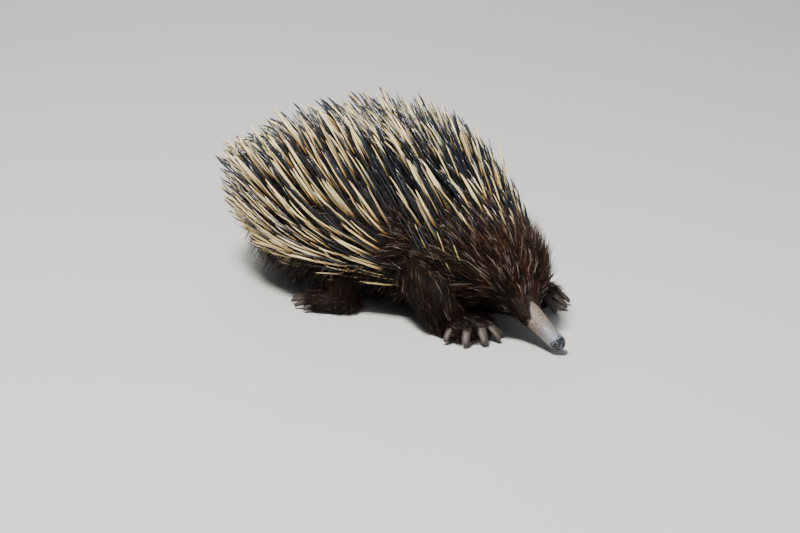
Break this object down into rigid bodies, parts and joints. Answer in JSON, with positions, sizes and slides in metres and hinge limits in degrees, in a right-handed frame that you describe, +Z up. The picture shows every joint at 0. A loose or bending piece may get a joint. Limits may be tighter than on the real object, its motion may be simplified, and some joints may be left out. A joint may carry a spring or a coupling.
{
  "type": "echidna",
  "caption": "Life-size short-beaked echidna standing on four clawed feet, head down, with a coat of stout spines, a slender bare beak and broad digging claws.",
  "frame": {"origin": "point of the floor under the middle of the animal's bounding box, spines included", "axes": "+X towards the head and the longest extent, +Y towards the animal's left side, +Z up from the floor the feet stand on"},
  "size_m": [0.3548, 0.1906, 0.1423],
  "materials": {
    "dark_fur": "coarse dark brown hair",
    "spines": "smooth keratin, cream with dark roots",
    "beak_skin": "fine scaly bare skin",
    "eye_black": "wet black"
  },
  "bodies": {
    "root": {"torso": "spines", "neck": "dark_fur", "head": "dark_fur", "beak": "beak_skin", "tail": "dark_fur", "eye_left": "eye_black", "eye_right": "eye_black", "ear_left": "beak_skin", "ear_right": "beak_skin", "foreleg_left": "dark_fur", "foreleg_right": "dark_fur", "hindleg_left": "dark_fur", "hindleg_right": "dark_fur"}
  },
  "joints": []
}
